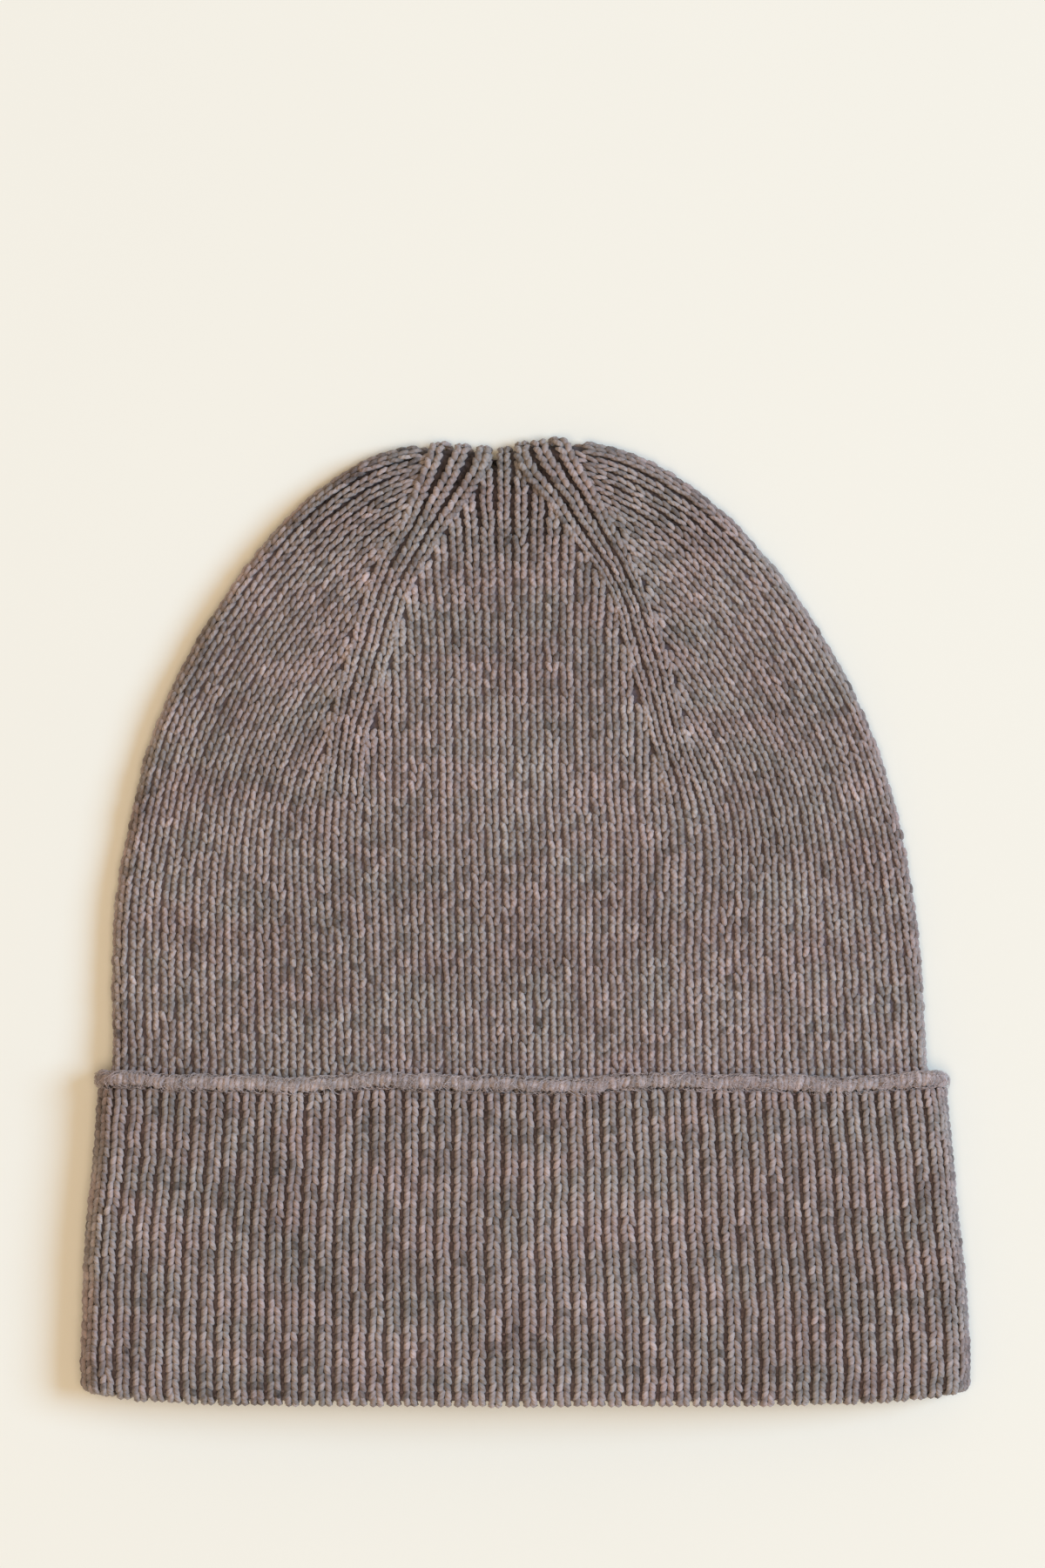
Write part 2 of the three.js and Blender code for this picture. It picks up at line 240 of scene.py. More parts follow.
# The crown's outer face over places of the outline's plan: the point, the way out of the cloth,
# the way to the edge along the cloth, and the way to the edge in plan
def crownFace(spots, back, sunk):
    x, height = spots.T
    distance, _, out = fromOutline(spots)
    distance = np.maximum(distance, 0.0)
    base, thick, roll = (np.interp(height, crownBody[:, 0], crownBody[:, i]) for i in (1, 2, 3))
    turn = np.arccos(1 - np.minimum(distance, roll) / roll)
    reach, power = crown["domeReach"], crown["domePower"]
    inner = 1 - np.minimum(1, distance / reach)
    dome = (thick - 2 * roll) * (1 - inner**power)
    slope = (thick - 2 * roll) * power * inner ** (power - 1) / reach
    slope = np.where(back, 0, slope)
    side = np.where(back, -1.0, 1.0)
    z = base + roll + side * roll * np.sin(turn) + np.where(back, 0, dome)
    lean = (np.cos(turn) + slope * np.sin(turn))[:, None]
    rise = (side * np.sin(turn))[:, None]
    normal = unit(np.concatenate([out * lean, rise], axis=1))
    edgeward = unit(np.concatenate([out * np.sin(turn)[:, None], -side[:, None] * lean], axis=1))
    depth = sunk + puckerDepth(x, height) * back
    place = np.stack([x, height, z], axis=1) - normal * depth[:, None]
    return place, normal, edgeward, out


# The last stitches are drawn in to a small hollow at the gather
def puckerDepth(x, height):
    away = np.hypot(x - hat["gather"][0], height - hat["gather"][1])
    return crown["puckerDepth"] * np.exp(-((away / crown["puckerReach"]) ** 2))


# How far in from the outline in plan a place lies that is this far from it along the cloth
def planReach(cloth):
    quarter = crown["roll"] * math.pi / 2
    rolled = crown["roll"] * (1 - np.cos(cloth / crown["roll"]))
    return np.where(cloth < quarter, rolled, crown["roll"] + cloth - quarter)


# Places that lie beyond the outline go over the edge and on down the other face
def overEdge(spots, heads, back):
    distance, near, out = fromOutline(spots)
    beyond = distance < 0
    placed = near - out * planReach(np.maximum(-distance, 0))[:, None]
    outward = (heads * out).sum(1)[:, None] * out
    spots = np.where(beyond[:, None], placed, spots)
    heads = np.where(beyond[:, None], heads - 2 * outward, heads)
    return spots, heads, back ^ beyond


# A list of stitches, each with its place, its wale's way up, the way out of the cloth and its size
class Stitches:
    def __init__(self):
        self.parts = []

    def add(self, place, up, out, wide, tall, squeeze=1.0, weight=1.0, light=0.0):
        values = (wide, tall, squeeze, weight, light)
        spread = [np.broadcast_to(np.asarray(value, float), (len(place),)) for value in values]
        self.parts.append([place, up, out, *spread])

    def columns(self):
        return [np.concatenate(column) for column in zip(*self.parts)]


# Stitches on the crown, from their places and their wales' headings in plan
def crownStitches(stitches, spots, heads, back, wide, tall, sunk, **rest):
    spots, heads, back = overEdge(spots, heads, np.broadcast_to(back, len(spots)))
    place, normal, edgeward, out = crownFace(spots, back, sunk + yarn["thick"] / 2)
    head = unit(heads)
    outward = (head * out).sum(1)
    tangent = np.stack([-out[:, 1], out[:, 0], np.zeros(len(spots))], axis=1)
    sideways = head[:, 1] * out[:, 0] - head[:, 0] * out[:, 1]
    up = unit(tangent * sideways[:, None] + edgeward * outward[:, None])
    stitches.add(place, up, normal, wide, tall, **rest)


yarn = {
    "thick": 1.25,  # how far a strand stands out of the cloth
    "width": 0.85,  # of a strand, as a share of half a wale
    "lean": 1.3,  # how far the two strands of a V lean apart
    "sides": 5,
    "unevenness": 0.11,  # how far stitches stray from their places
    "turnSpread": 0.1,  # and how far their strands lean out of line
    "toneSpread": 1.3,
    "toneDrift": 0.35,  # the share of the tone that drifts along a wale
    "toneOwn": 0.85,  # and the share that each stitch has of its own
    "floorGap": 0.03,  # the wool is pressed flat where it lies on the floor
}

# One strand of a V from its lower end to its upper end: how far along the wale in row heights,
# how far from the V's middle in half wales, how far out of the cloth and how thick, as shares
strandStations = [
    (-0.86, 0.30, -0.42, 0.0),
    (-0.45, 0.39, 0.04, 0.88),
    (0.02, 0.50, 0.14, 1.0),
    (0.48, 0.60, 0.00, 0.90),
    (0.91, 0.65, -0.48, 0.0),
]


def ringAngles(sides):
    return [2 * math.pi * i / sides + math.pi / 2 for i in range(sides)]


# The points of one strand, closed to a point at both ends, and its triangles
def strandTemplate(sides):
    rows, faces = [], []
    for seat, (along, across, out, girth) in enumerate(strandStations):
        ends = seat in (0, len(strandStations) - 1)
        for angle in ringAngles(sides)[:1 if ends else sides]:
            rows.append((along, across, out, girth * math.cos(angle), girth * math.sin(angle)))
    rings = [1 + sides * i for i in range(len(strandStations) - 2)]
    last = len(rows) - 1
    for i in range(sides):
        following = (i + 1) % sides
        faces.append((0, rings[0] + following, rings[0] + i))
        faces.append((last, rings[-1] + i, rings[-1] + following))
        for low, high in zip(rings, rings[1:]):
            faces.append((low + i, low + following, high + following))
            faces.append((low + i, high + following, high + i))
    return np.array(rows), np.array(faces)


# The faces of many copies of a shape that has this many points
def copiedFaces(faces, points, count):
    return (faces + points * np.arange(count)[:, None, None]).reshape(-1, 3)


# Makes one mesh from points in millimetres, as x, height and z, and triangles
def clothMesh(name, points, faces, strand=None):
    points = points.reshape(-1, 3) - (0, hat["rowOrigin"], 0)
    points[:, 2] = np.maximum(points[:, 2], yarn["floorGap"])
    mesh = bpy.data.meshes.new(name)
    mesh.vertices.add(len(points))
    mesh.vertices.foreach_set("co", (points * 0.001).astype(np.float32).ravel())
    mesh.loops.add(faces.size)
    mesh.loops.foreach_set("vertex_index", faces.astype(np.int32).ravel())
    mesh.polygons.add(len(faces))
    mesh.polygons.foreach_set("loop_start", np.arange(0, faces.size, 3, dtype=np.int32))
    mesh.update(calc_edges=True)
    mesh.shade_smooth()
    if strand is not None:
        held = mesh.attributes.new("strand", "FLOAT_VECTOR", "POINT")
        held.data.foreach_set("vector", strand.astype(np.float32).ravel())
    piece = bpy.data.objects.new(name, mesh)
    scene.collection.objects.link(piece)
    return piece


# How light each stitch of a wale is: it drifts along the wale, with a little of each stitch's own
def yarnTone(count):
    drift = draws.normal(0, 1, count + 6)
    reach = np.array([1, 2, 3, 4, 3, 2, 1])
    drift = np.convolve(drift, reach / np.sqrt((reach**2).sum()), "valid")
    own = draws.normal(0, 1, count)
    return yarn["toneSpread"] * (yarn["toneDrift"] * drift + yarn["toneOwn"] * own)


# Turns a list of stitches into the mesh of their strands. flip is -1 where the V stands on its head.
def strandMesh(name, stitches, flip=1, lean=yarn["lean"], width=yarn["width"]):
    place, up, out, wide, tall, squeeze, weight, light = stitches.columns()
    count = len(place)
    right = np.cross(up, out)
    place = place + draws.normal(0, yarn["unevenness"], (count, 1)) * right
    place = place + draws.normal(0, yarn["unevenness"], (count, 1)) * out
    rows, faces = strandTemplate(yarn["sides"])
    station, apart, raised, ringAcross, ringOut = rows.T
    faces = faces[:, ::-1] if flip < 0 else faces
    allPoints, allStrands = [], []
    for side in (-1, 1):
        tone = yarnTone(count) + light
        turn = draws.normal(0, yarn["turnSpread"], count)
        half = (wide / 2 * squeeze)[:, None]
        girth = half * width / 2 * weight[:, None]
        thick = yarn["thick"] / 2 * weight[:, None]
        spread = 0.5 + lean * (apart - 0.5) + turn[:, None] * station
        along = flip * station * tall[:, None]
        across = side * spread * half + ringAcross * girth
        away = raised * yarn["thick"] + ringOut * thick
        points = place[:, None] + right[:, None] * across[..., None]
        points = points + up[:, None] * along[..., None] + out[:, None] * away[..., None]
        allPoints.append(points)
        strand = np.empty((count, len(rows), 3))
        strand[..., 0] = ringAcross * side
        strand[..., 1] = station * flip
        strand[..., 2] = tone[:, None]
        allStrands.append(strand)
    faces = copiedFaces(faces, len(rows), 2 * count)
    return clothMesh(name, np.concatenate(allPoints), faces, np.concatenate(allStrands))


# A row's place on a line
def rowRun(row):
    return (np.asarray(row, float) - knit["firstRow"]) * knit["rowHeight"]


frontLine = {name: Line(points) for name, points in frontLines.items()}
backLine = {name: Line(points) for name, points in backLines.items()}
sideSign = {"left": 1, "right": -1}  # which way in x leads in from each side

# Where the front's outer lines go over the top edge
edgeCrossing = {side: frontLines[side + "Outer"][-2][0] for side in sideSign}


# The last row that an outer line has on the front, and its last row of all at the gather
def edgeRow(side):
    run = frontLine[side + "Outer"].runAtX(edgeCrossing[side], crown["lineTop"], sideSign[side])
    return run / knit["rowHeight"] + knit["firstRow"]


def gatherRow(side):
    return frontLine[side + "Outer"].length / knit["rowHeight"] + knit["firstRow"]


# What the growing pitch adds by a row, where 1 is one row of the full growth
def grownRows(row):
    low, high = crown["bendRows"]
    bent = np.clip(row - low, 0, high - low)
    return bent**2 / (2 * (high - low)) + np.maximum(0, row - high)


# How far up a side's outline each row lies
def outlineRun(side, row):
    outline, last, pitch = outlines[side], edgeRow(side), crown["lowPitch"]
    start = outline.runAtHeight(hat["cuffTop"])
    finish = outline.runAtX(edgeCrossing[side], crown["outlineTop"])
    extra = (finish - start - pitch * last) / grownRows(last)
    return start + pitch * row + extra * grownRows(row)


# The way in from a line that goes up a side
def inwardFrom(heading, side):
    return np.array([heading[1], -heading[0]]) * sideSign[side]


# One row of a side panel on one face, from the outline in to the outer line, square to both
class SideRow:
    def __init__(self, side, back, row):
        line = (backLine if back else frontLine)[side + "Outer"]
        shaping = knit["shapingRow"]
        run = rowRun(row)
        if back and row > shaping:
            low = rowRun(shaping)
            run = low + (row - shaping) / (gatherRow(side) - shaping) * (line.length - low)
        finish = line.at(run)
        arrival = inwardFrom(line.heading(run, 3.0), side)
        if row <= edgeRow(side):
            away = outlineRun(side, row)
            start = outlines[side].at(away)
            inward = inwardFrom(outlines[side].heading(away), side)
        else:
            beyond = frontLine[side + "Outer"].at(rowRun(row))
            start = overEdge(beyond[None], np.array([[0.0, 1.0]]), np.array([False]))[0][0]
            inward = arrival = unit(finish - start)
        t = np.linspace(0, 1, 60)[:, None]
        reach = np.linalg.norm(finish - start)
        self.curve = smoothCurve(t, start, finish, reach, inward, arrival)
        self.runs = runsAlong(self.curve)
        roll, plan = crown["roll"], self.runs[-1]
        self.length = roll * math.acos(1 - min(plan, roll) / roll) + max(0, plan - roll)

    # Places by their distance from the outline along the cloth, also a little past the outer line
    def at(self, cloth):
        plan = planReach(cloth)
        past = np.maximum(plan - self.runs[-1], 0)
        end = unit(self.curve[-1] - self.curve[-3])
        return pointsAt(plan, self.runs, self.curve.T) + past[:, None] * end


knitLook = {
    "waleGap": 0.06,  # how far a wale's strands draw together, away from the next wale
    "gather": 0.12,  # how far wales draw together by the tip, which opens grooves between them
    "tuck": 0.7,  # how far a wale's last stitches sink under a band
    "tallest": 3.2,
    "lastRoom": -0.14,  # where a wale ends, in wales from the band
    "tipRoom": -0.5,  # the same by the tip
    "tipHeights": (200, 214),
    "markRoom": 0.22,  # stitches that lie within this of their wale's end stand out
    "markRise": 0.3,
    "markWeight": 1.14,
    "markLight": 1.1,
}

bandLook = {
    "gather": 0.07,
    "lift": 0.35,  # how far the bands lie over the wales that end at them
    "liftHeights": (138, 150),
    "thicker": 0.08,  # how much thicker the yarn of the bands shows by the tip
    "tipHeights": (150, 215),
    "widths": (1.6, 4.4),  # the narrowest and widest a wale of the bands gets
}


# How near to a band a wale comes before it ends, by height
def lastRoom(height):
    tip = smoothStep(height, *knitLook["tipHeights"])
    return knitLook["lastRoom"] * (1 - tip) + knitLook["tipRoom"] * tip


# Stitches of a panel. For each row a wale holds x, height, the room left to the band and the pitch.
def panelStitches(stitches, wales, back):
    for rows in wales.values():
        order = np.array(sorted(rows))
        if len(order) < knit["fewestRows"]:
            continue
        held = np.array([rows[row] for row in order])
        spots, height, pitch = held[:, :2], held[:, 1], held[:, 3]
        room = held[:, 2] / pitch
        shaped = order > knit["shapingRow"]
        steps = np.gradient(spots, axis=0)
        tall = np.linalg.norm(steps, axis=1)
        under = np.clip(0.5 - room, 0, 1) * shaped
        mark = shaped & (np.r_[room[1:], -1] < knitLook["lastRoom"] + knitLook["markRoom"])
        mark = mark & (height < knitLook["tipHeights"][1])
        gathered = smoothStep(height, *knitLook["tipHeights"])
        crownStitches(stitches, spots, steps / tall[:, None], back,
                      pitch, np.minimum(tall, knitLook["tallest"]),
                      sunk=knitLook["tuck"] * under**1.5 - knitLook["markRise"] * mark,
                      squeeze=1 - knitLook["waleGap"] - knitLook["gather"] * gathered,
                      weight=np.where(mark, knitLook["markWeight"], 1.0),
                      light=np.where(mark, knitLook["markLight"], 0.0))


def sidePanel(side):
    stitches = Stitches()
    for back in (False, True):
        final = gatherRow(side) - 2 if back else edgeRow(side)
        rows = {row: SideRow(side, back, row) for row in range(knit["firstRow"], int(final))}
        narrowest = rows[knit["shapingRow"]].length / knit["sideWales"]
        wales = {}
        for row, line in rows.items():
            pitch = line.length / knit["sideWales"]
            if row > knit["shapingRow"]:
                pitch = narrowest * (1 + knit["sideGrowth"] * smoothStep(row, *knit["sideGrowthRows"]))
            numbers = np.arange(1 if back else 0, math.ceil(knit["sideWales"]))
            room = line.length - numbers * pitch
            kept = room > lastRoom(line.curve[-1, 1]) * pitch
            numbers, room = numbers[kept], room[kept]
            places = line.at(np.minimum(numbers * pitch, line.length + knit["overlap"]))
            for wale, place, left in zip(numbers, places, room):
                wales.setdefault(wale, {})[row] = (*place, left, pitch)
        panelStitches(stitches, wales, back)
    return stitches


# The middle wales, which end along the bands on both sides, and the bands
def middlePanel(back):
    stitches = Stitches()
    lines = backLine if back else frontLine
    top = hat["gather"][1] - 3 if back else knit["frontTop"]
    count = knit["middleWales"]
    wales = {}
    for step in range(int((top - knit["firstHeight"]) / knit["rowHeight"]) + 1):
        row = knit["firstRow"] + step
        height = knit["firstHeight"] + knit["rowHeight"] * step
        low, high = lines["leftInner"].xAtHeight(height), lines["rightInner"].xAtHeight(height)
        if row <= knit["shapingRow"]:
            middle, pitch = (low + high) / 2, (high - low) / count
        else:
            middle = np.interp(height, knit["middleHeights"], knit["middleLine"])
            growth = [share * smoothStep(height, *heights) for share, *heights in knit["middleGrowth"]]
            pitch = knit["middlePitch"] * sum(growth, 1)
        x = middle + (np.arange(count) - (count - 1) / 2) * pitch
        for wale, (place, left) in enumerate(zip(x, np.minimum(x - low, high - x))):
            if left > lastRoom(height) * pitch:
                wales.setdefault(wale, {})[row] = (place, height, left, pitch)
    panelStitches(stitches, wales, back)
    for side in sideSign:
        bandStitches(stitches, lines[side + "Outer"], lines[side + "Inner"], back)
    return stitches


# The wales of a band run between its two lines. The odd steps of a path are stitches, and the even
# steps lie between them.
def bandStitches(stitches, outer, inner, back):
    count = int((outer.length + inner.length) / 2 / knit["rowHeight"])
    steps = np.linspace(0, 1, 2 * count + 1)
    outerPath, innerPath = outer.at(steps * outer.length), inner.at(steps * inner.length)
    across = (innerPath - outerPath)[1:-8:2]
    for wale in range(knit["bandWales"]):
        share = (wale + 0.5) / knit["bandWales"]
        path = (1 - share) * outerPath + share * innerPath
        spots, ahead = path[1:-8:2], path[2:-7:2] - path[0:-9:2]
        head = unit(ahead)
        wide = np.abs(across[:, 0] * head[:, 1] - across[:, 1] * head[:, 0]) / knit["bandWales"]
        high = smoothStep(spots[:, 1], *bandLook["tipHeights"])
        crownStitches(stitches, spots, head, back,
                      np.clip(wide, *bandLook["widths"]), np.linalg.norm(ahead, axis=1),
                      sunk=-bandLook["lift"] * smoothStep(spots[:, 1], *bandLook["liftHeights"]),
                      squeeze=1 - knitLook["waleGap"] - bandLook["gather"] * high,
                      weight=1 + bandLook["thicker"] * high)


# The cuff

cuff = {
    "height": 74.6,  # of the turned-up layer, below its cast-on edge
    "thick": 20.0,
    "domePower": 2.2,
    "roll": 5.2,
    "ribs": 108,
    "foldRadius": 2.35,
    "rowHeight": 1.96,
    "rowStart": 0.62,  # where the first row lies, in rows from the edge
    "foldRows": 5,
    "insideRows": 8,  # rows of stitches that go on inside the mouth
    "squeeze": 0.82,  # how far the strands of a rib are drawn together, which leaves the grooves
    "strandWidth": 0.94,
    "strandWeight": 1.04,
    "lean": 1.05,
    "cornerRise": 2.8,
    "cornerReach": 13.0,
    "cornerFade": 16,  # the height at which the corners' rise has faded out
    "firstRib": 0.4,  # in ribs, how far the first rib lies round from the left side
    "waveSize": 0.5,
    "waveHalfLength": 33.0,
    "waveMiddle": -28.0,
}
cuffRows = round((cuff["height"] - cuff["foldRadius"]) / cuff["rowHeight"])  # above the fold

# The cuff's outline by height: left and right
cuffOutline = np.array([
    (0, -105.5, 105.2),
    (9, -105.8, 105.6),
    (22, -105.4, 105),
    (32, -105.1, 104.2),
    (42, -104.5, 102.9),
    (57, -102.9, 101.7),
    (73, -101.7, 100),
    (78, -101.3, 99.4),
])


# The cuff's outer face at one height, at shares of the way round from its left side over the top:
# x and z, the way out, the length all round, and where the left and right sides lie
def cuffSection(height, shares):
    left, right = (np.interp(height, cuffOutline[:, 0], cuffOutline[:, i]) for i in (1, 2))
    width, roll = right - left, cuff["roll"]
    t = np.linspace(0, 1, 2401)
    across = (1 - np.cos(2 * math.pi * t)) / 2
    fromSide = width * np.minimum(across, 1 - across)
    rolled = np.sqrt(np.maximum(0, roll**2 - (roll - np.minimum(fromSide, roll)) ** 2))
    inner = 1 - np.minimum(1, 2 * fromSide / width)
    dome = (cuff["thick"] - 2 * roll) * (1 - inner ** cuff["domePower"])
    x = left + width * across
    z = roll + np.where(t < 0.5, rolled + dome, -rolled)
    run = np.r_[0, np.cumsum(np.hypot(np.diff(x), np.diff(z)))]
    run /= run[-1]
    shares = np.asarray(shares) % 1
    step = 0.002
    ahead, behind = (pointsAt((shares + way) % 1, run, (x, z)) for way in (step, -step))
    along = unit(ahead - behind)
    out = np.stack([-along[:, 1], along[:, 0]], axis=1)
    perimeter = np.hypot(np.diff(x), np.diff(z)).sum()
    return pointsAt(shares, run, (x, z)), out, perimeter, left, right


# The turned-up edge lies in a soft wave
def edgeWave(x):
    return cuff["waveSize"] * np.cos(math.pi * (x - cuff["waveMiddle"]) / cuff["waveHalfLength"])


# A ring of the cuff's cloth. down is how far it lies from the turned-up edge along the cloth, and
# sunk how far into it. Gives places, ways out and up, and the length all round.
def cuffRing(down, shares, sunk=0.0):
    radius = cuff["foldRadius"]
    straight = cuff["height"] - radius
    turn = np.clip((down - straight) / radius, 0, math.pi)
    inside = max(0.0, down - straight - math.pi * radius)
    height = cuff["height"] - down if down < straight else radius * (1 - math.sin(turn)) + inside
    spot, out, perimeter, left, right = cuffSection(max(height, 0), shares)
    x, z = spot.T
    out = np.stack([out[:, 0], np.zeros(len(x)), out[:, 1]], axis=1)
    upward = np.array([0.0, 1.0, 0.0])
    normal = out * math.cos(turn) - upward * math.sin(turn)
    head = upward * math.cos(turn) + out * math.sin(turn)
    corner = np.exp(-np.maximum(0, np.minimum(x - left, right - x)) / cuff["cornerReach"])
    lift = cuff["cornerRise"] * corner * max(0, 1 - height / cuff["cornerFade"])
    lift = lift + edgeWave(x) * (height / cuff["height"]) ** 3
    depth = radius * (1 - math.cos(turn))
    place = np.stack([x, height + lift, z], axis=1) - out * depth - normal * sunk
    return place, normal, head, perimeter


# Places for whole rows of the cuff, rib by rib, with their ways out and up and each row's rib width
def cuffPlaces(rows, shares, start, sunk):
    rings = [cuffRing((row + start) * cuff["rowHeight"], shares, sunk) for row in rows]
    columns = [np.stack([ring[i] for ring in rings], axis=1).reshape(-1, 3) for i in range(3)]
    return *columns, [ring[3] / cuff["ribs"] for ring in rings]


def cuffStitches(part):
    half = cuff["ribs"] // 2
    shares = (np.arange(cuff["ribs"]) + cuff["firstRib"]) / cuff["ribs"]
    rows = range(cuffRows)
    if part == "front":
        shares = shares[:half]
    elif part == "back":
        shares = shares[half:]
    else:
        rows = range(cuffRows, cuffRows + cuff["foldRows"] + cuff["insideRows"])
    place, normal, head, widths = cuffPlaces(rows, shares, cuff["rowStart"], yarn["thick"] / 2)
    stitches = Stitches()
    stitches.add(place, head, normal, np.tile(widths, len(shares)), cuff["rowHeight"],
                 squeeze=cuff["squeeze"], weight=cuff["strandWeight"])
    return stitches


# The purl bumps between the ribs: a small one in each row of each groove. They wear the knit back's
# painted shade, which darkens the grooves, and their tone lifts them a little above it.
purl = {
    "rowStart": 0.3,
    "sunk": 1.85,
    "wide": 0.55,  # as a share of a rib's width
    "tall": 0.8,
    "thick": 0.55,
    "sizeSpread": 0.08,
    "tone": 2.0,
    "toneSpread": 0.8,
}


def purlBumps():
    shares = (np.arange(cuff["ribs"]) + cuff["firstRib"] + 0.5) / cuff["ribs"]
    rows = range(cuffRows + cuff["foldRows"])
    place, normal, head, widths = cuffPlaces(rows, shares, purl["rowStart"], purl["sunk"])
    wide = widths[0] * purl["wide"] / 2
    right = np.cross(head, normal)
    count = len(place)
    size = draws.normal(1, purl["sizeSpread"], (count, 1))
    tips = [right * wide, head * purl["tall"] / 2, -right * wide, -head * purl["tall"] / 2]
    points = [place + tip * size for tip in tips]
    points += [place + normal * purl["thick"], place - normal * purl["thick"]]
    corners = [(i, (i + 1) % 4, 4) for i in range(4)] + [((i + 1) % 4, i, 5) for i in range(4)]
    strand = np.zeros((6 * count, 3))
    strand[:, 2] = np.repeat(draws.normal(purl["tone"], purl["toneSpread"], count), 6)
    return np.stack(points, axis=1).reshape(-1, 3), copiedFaces(np.array(corners), 6, count), strand


# Closed shells under the strands: the back of the knit, coloured far darker than the wool as painted
# shade in the gaps between the strands

# Triangles between rings of points that each close round
def gridFaces(rings, columns):
    i, j = np.meshgrid(np.arange(rings - 1), np.arange(columns), indexing="ij")
    a, b = i * columns + j, i * columns + (j + 1) % columns
    c, d = a + columns, b + columns
    halves = [np.stack(half, axis=-1).reshape(-1, 3) for half in ((a, b, d), (a, d, c))]
    return np.concatenate(halves)


cuffGround = {
    "columns": 540,
    "grooveDepth": 0.6,  # how much deeper it lies between the ribs
    "edgeSunk": 2.1,
    "sunk": 1.15,
    "start": 0.6,  # how far below the turned-up edge it starts
    "foldPart": 8,  # length of the part that goes round the fold
    # How it goes on inside and comes back: how far past the fold, and how far sunk
    "inner": [(12, 1.15), (52, 1.0), (52, 2.2), (12, 2.2), (0.6, 2.25), (-3.5, 2.25), (-8, 2.25)],
}


def cuffShell():
    count, start, sunk = (cuffGround[name] for name in ("columns", "start", "sunk"))
    shares = np.arange(count) / count
    wave = np.cos(2 * math.pi * (shares * cuff["ribs"] - cuff["firstRib"]))
    groove = cuffGround["grooveDepth"] * (0.5 - 0.5 * wave)
    whole = cuff["height"] - cuff["foldRadius"] + math.pi * cuff["foldRadius"]
    foldPart = cuffGround["foldPart"]
    outer = whole - foldPart
    path = [(start, cuffGround["edgeSunk"])]
    path += [(start + outer * i / 8, sunk) for i in range(9)]
    path += [(outer + (foldPart + start) * i / 8, sunk) for i in range(1, 9)]
    path += [(whole + past, deep) for past, deep in cuffGround["inner"]]
    rings = []
    for down, deep in path:
        place, normal, _, _ = cuffRing(down, shares)
        grooved = groove if deep < 2 else np.zeros(count)  # its far side is plain
        rings.append(place - normal * (deep + grooved)[:, None])
    points = np.concatenate(rings)
    return points, gridFaces(len(rings) + 1, count) % len(points)


crownGround = {
    "sunk": (2.0, 1.0),  # of its inner and its outer sheet
    "tipSunk": 0.5,
    "tipSunkHeights": (195, 215),
    "ringBend": (108.0, 226.6),  # between these heights its rings spread out along the outline
    "tipPaintedShade": -2.0,  # painted shade: by the tip, where the grooves are deep, the knit's back is painted darker
    "tipHeights": (190, 212),
    "holePaintedShade": -1.0,  # painted shade in the holes beside the narrowing lines, where wales end
    "holeHeights": (136, 150),
    "holeReach": 6.0,
}


# Painted shade on the knit's back: darker beside the narrowing lines and by the tip
def paintedGroundShade(points):
    x, height, reach = points[:, 0], points[:, 1], crownGround["holeReach"]
    holeShade = np.zeros(len(points))
    for line in frontLine.values():
        gap = np.abs(x - line.xAtHeight(height))
        holeShade = np.maximum(holeShade, 1 - smoothStep(gap, reach / 2, reach))
    holeShade *= crownGround["holePaintedShade"] * smoothStep(height, *crownGround["holeHeights"])
    tips = crownGround["tipPaintedShade"] * smoothStep(height, *crownGround["tipHeights"])
    return np.minimum(holeShade, tips)


# Where a ring of the shell meets the outline on both sides, by the height of its middle
def shellEnds(rise):
    low, top = crownGround["ringBend"]
    ends = []
    for outline in outlines.values():
        run = outline.runAtHeight(min(rise, low))
        if rise > low:
            run = run + (rise - low) / (top - low) * (outline.length - run)
        ends.append(outline.at(run))
    return ends


# A ring of the shell: from the left side over the front to the right, and back under the hat
def shellRing(rise, sunk):
    left, right = shellEnds(rise)
    width = right[0] - left[0]
    rollShare = crown["roll"] / width
    side = rollShare * (1 - np.cos(np.linspace(0, math.pi / 2, 6)))
    across = np.r_[side, np.linspace(rollShare, 1 - rollShare, 44)[1:-1], 1 - side[::-1]]
    across = np.r_[across, across[-2:0:-1]]
    back = np.arange(len(across)) > len(across) // 2
    bend = (left[1] + right[1]) / 2 - rise
    height = left[1] + (right[1] - left[1]) * across - bend * (1 - (2 * across - 1) ** 2)
    spots = np.stack([left[0] + width * across, height], axis=1)
    tip = crownGround["tipSunk"] * smoothStep(height, *crownGround["tipSunkHeights"])
    return crownFace(spots, back, sunk + tip)[0]


def crownShell():
    rises = np.r_[64, np.arange(70, 223, 3.0), 224.5]  # the heights of its rings
    inner, outer = crownGround["sunk"]
    rings = [shellRing(rise, inner) for rise in rises[::-1]]
    rings += [shellRing(rise, outer) for rise in rises]
    count = len(rings[0])
    points = np.concatenate(rings)
    # the last ring of each sheet closes to a seam along the top edge
    caps = []
    for first, out in ((0, False), ((len(rings) - 1) * count, True)):
        for i in range(count // 2):
            a, b = first + i, first + i + 1
            c, d = first + (count - i) % count, first + count - i - 1
            quad = [(a, b, d), (a, d, c)] if out else [(a, d, b), (a, c, d)]
            caps += [face for face in quad if len(set(face)) == 3]
    strand = np.zeros((len(points), 3))
    # the crown's knit back carries its painted shade in the tone
    strand[:, 2] = paintedGroundShade(points)
    return points, np.concatenate([gridFaces(len(rings), count), np.array(caps)]), strand


# The cast-on edge: loops of yarn side by side over the top of the cuff, on a soft core

